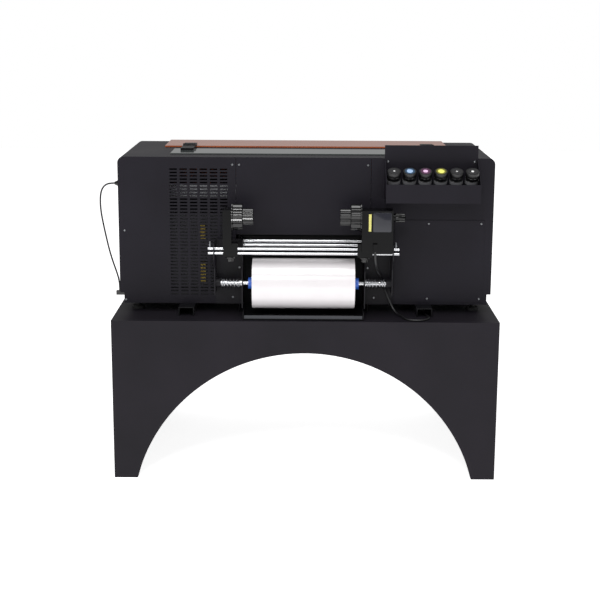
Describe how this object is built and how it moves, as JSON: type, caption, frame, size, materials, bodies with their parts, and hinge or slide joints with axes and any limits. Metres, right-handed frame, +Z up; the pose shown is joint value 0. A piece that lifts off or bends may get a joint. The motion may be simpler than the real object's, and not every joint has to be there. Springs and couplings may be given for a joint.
{
  "type": "uv film printer",
  "caption": "Roll-fed UV printer on an arched sheet-metal stand, with a hinged lid, scanning carriage, sprung roll spindles, sliding take-up brackets and an ink rack.",
  "frame": {"origin": "on the floor under the middle of the stand", "axes": "+X along the carriage travel, +Y towards the operator side, +Z up"},
  "size_m": [1.177, 0.72, 0.981],
  "materials": {
    "casing": "powder coat, fine texture, charcoal",
    "stand": "powder coat, charcoal",
    "frame": "semi-gloss black paint",
    "mechanism": "gloss black enamel",
    "steel_bar": "ground bright bar",
    "spring": "bright spring wire",
    "fastener": "zinc plated",
    "black_plastic": "moulded, semi-gloss",
    "window": "smoked acrylic sheet",
    "lid": "amber acrylic sheet",
    "film": "glossy white film",
    "core": "wound board",
    "cone": "blue nylon",
    "bottle": "black polyethylene",
    "cap": "moulded black",
    "rubber": "black rubber",
    "aluminium": "anodised extrusion",
    "carriage": "black",
    "electronics": "sheet cover and board",
    "cable": "black sheath",
    "foot": "rubber pads"
  },
  "bodies": {
    "root": {"base_tray": "frame", "cable_fittings": "black_plastic", "cap_station": "black_plastic", "carriage_drive": "black_plastic", "electronics": "electronics", "fasteners": "fastener", "feed_shroud": "frame", "foot_rails": "frame", "front_panel": "casing", "gantry_beam": "aluminium", "hinge_base_leaves": "frame", "ink_bottles": "bottle", "ink_rack": "frame", "levelling_feet": "foot", "motor_cable": "cable", "platen": "aluminium", "rear_panel_centre": "casing", "rear_panel_left": "casing", "rear_panel_right": "casing", "rods_and_tie_bar": "steel_bar", "roll_frames": "frame", "service_panel": "casing", "side_cable": "cable", "side_covers": "casing", "side_frames": "frame", "spring_left": "spring", "spring_right": "spring", "stand_arch_panels": "stand", "stand_end_panels": "stand", "stand_top": "stand", "top_cover": "casing", "top_window": "window"},
    "lid": {"lid_panel": "lid", "hinge_lid_leaves": "frame"},
    "carriage": {"carriage": "carriage", "print_heads": "mechanism"},
    "feed_roller": {"feed_roller": "rubber"},
    "pinch_rollers": {"pinch_rollers": "rubber"},
    "guide_roller_upper": {"guide_roller_upper": "steel_bar"},
    "guide_roller_lower": {"guide_roller_lower": "steel_bar"},
    "roll": {"media_roll": "film", "roll_core": "core"},
    "spindle_left": {"spindle_left": "steel_bar"},
    "spindle_right": {"spindle_right": "steel_bar"},
    "cone_left": {"cone_left": "cone"},
    "cone_right": {"cone_right": "cone"},
    "bracket_left": {"bracket_left": "mechanism"},
    "bracket_right": {"bracket_right": "mechanism"},
    "chuck_left": {"chuck_left": "black_plastic"},
    "chuck_right": {"chuck_right": "black_plastic"},
    "clamp_knob_left": {"clamp_knob_left": "black_plastic"},
    "clamp_knob_right": {"clamp_knob_right": "black_plastic"},
    "tension_knob": {"tension_knob": "black_plastic"},
    "power_button": {"power_button": "black_plastic"},
    "ink_cap_1": {"ink_cap_1": "cap"},
    "ink_cap_2": {"ink_cap_2": "cap"},
    "ink_cap_3": {"ink_cap_3": "cap"},
    "ink_cap_4": {"ink_cap_4": "cap"},
    "ink_cap_5": {"ink_cap_5": "cap"},
    "ink_cap_6": {"ink_cap_6": "cap"}
  },
  "joints": [
    {"name": "lid_hinge", "type": "hinge", "parent": "root", "child": "lid", "pos_m": [0, 0.008, 0.9525], "axis": [1, 0, 0], "range_deg": [0, 80]},
    {"name": "carriage_slide", "type": "slide", "parent": "root", "child": "carriage", "axis": [1, 0, 0], "range_m": [-0.68, 0]},
    {"name": "feed_spin", "type": "hinge", "parent": "root", "child": "feed_roller", "pos_m": [0, -0.118, 0.6955], "axis": [1, 0, 0], "continuous": true},
    {"name": "pinch_spin", "type": "hinge", "parent": "root", "child": "pinch_rollers", "pos_m": [0, -0.118, 0.7164], "axis": [1, 0, 0], "continuous": true},
    {"name": "guide_upper_spin", "type": "hinge", "parent": "root", "child": "guide_roller_upper", "pos_m": [0, -0.23, 0.6953], "axis": [1, 0, 0], "continuous": true},
    {"name": "guide_lower_spin", "type": "hinge", "parent": "root", "child": "guide_roller_lower", "pos_m": [0, -0.23, 0.6824], "axis": [1, 0, 0], "continuous": true},
    {"name": "roll_spin", "type": "hinge", "parent": "root", "child": "roll", "pos_m": [-0.006, -0.278, 0.577], "axis": [1, 0, 0], "continuous": true},
    {"name": "spindle_left_pull", "type": "slide", "parent": "root", "child": "spindle_left", "axis": [-1, 0, 0], "range_m": [0, 0.0152], "stiffness_N_per_m": 800, "springref_m": -0.012, "deforming": ["spring_left"]},
    {"name": "spindle_right_pull", "type": "slide", "parent": "root", "child": "spindle_right", "axis": [1, 0, 0], "range_m": [0, 0.0152], "stiffness_N_per_m": 800, "springref_m": -0.012, "deforming": ["spring_right"]},
    {"name": "cone_left_spin", "type": "hinge", "parent": "spindle_left", "child": "cone_left", "pos_m": [-0.006, -0.278, 0.577], "axis": [1, 0, 0], "continuous": true},
    {"name": "cone_right_spin", "type": "hinge", "parent": "spindle_right", "child": "cone_right", "pos_m": [-0.006, -0.278, 0.577], "axis": [1, 0, 0], "continuous": true},
    {"name": "bracket_left_slide", "type": "slide", "parent": "root", "child": "bracket_left", "axis": [1, 0, 0], "range_m": [-0.02, 0.06]},
    {"name": "bracket_right_slide", "type": "slide", "parent": "root", "child": "bracket_right", "axis": [1, 0, 0], "range_m": [-0.06, 0]},
    {"name": "chuck_left_spin", "type": "hinge", "parent": "bracket_left", "child": "chuck_left", "pos_m": [0, -0.315, 0.78], "axis": [1, 0, 0], "continuous": true},
    {"name": "chuck_right_spin", "type": "hinge", "parent": "bracket_right", "child": "chuck_right", "pos_m": [0, -0.315, 0.78], "axis": [1, 0, 0], "continuous": true},
    {"name": "clamp_left_turn", "type": "hinge", "parent": "bracket_left", "child": "clamp_knob_left", "pos_m": [-0.218, -0.322, 0.66], "axis": [0, 0, 1], "range_deg": [0, 180]},
    {"name": "clamp_right_turn", "type": "hinge", "parent": "bracket_right", "child": "clamp_knob_right", "pos_m": [0.1715, -0.322, 0.66], "axis": [0, 0, 1], "range_deg": [0, 180]},
    {"name": "tension_turn", "type": "hinge", "parent": "bracket_right", "child": "tension_knob", "pos_m": [0, -0.315, 0.78], "axis": [1, 0, 0], "range_deg": [0, 270]},
    {"name": "power_press", "type": "slide", "parent": "root", "child": "power_button", "axis": [0, -1, 0], "range_m": [0, 0.003], "stiffness_N_per_m": 300},
    {"name": "cap_1_turn", "type": "hinge", "parent": "root", "child": "ink_cap_1", "pos_m": [0.253, -0.27, 0.848], "axis": [0, -0.4695, 0.8829], "range_deg": [0, 360]},
    {"name": "cap_2_turn", "type": "hinge", "parent": "root", "child": "ink_cap_2", "pos_m": [0.298, -0.27, 0.848], "axis": [0, -0.4695, 0.8829], "range_deg": [0, 360]},
    {"name": "cap_3_turn", "type": "hinge", "parent": "root", "child": "ink_cap_3", "pos_m": [0.343, -0.27, 0.848], "axis": [0, -0.4695, 0.8829], "range_deg": [0, 360]},
    {"name": "cap_4_turn", "type": "hinge", "parent": "root", "child": "ink_cap_4", "pos_m": [0.388, -0.27, 0.848], "axis": [0, -0.4695, 0.8829], "range_deg": [0, 360]},
    {"name": "cap_5_turn", "type": "hinge", "parent": "root", "child": "ink_cap_5", "pos_m": [0.433, -0.27, 0.848], "axis": [0, -0.4695, 0.8829], "range_deg": [0, 360]},
    {"name": "cap_6_turn", "type": "hinge", "parent": "root", "child": "ink_cap_6", "pos_m": [0.478, -0.27, 0.848], "axis": [0, -0.4695, 0.8829], "range_deg": [0, 360]}
  ],
  "couplings": [
    {"joint": "pinch_spin", "follows": "feed_spin", "ratio": -1.5625},
    {"joint": "cone_left_spin", "follows": "roll_spin", "ratio": 1},
    {"joint": "cone_right_spin", "follows": "roll_spin", "ratio": 1}
  ]
}
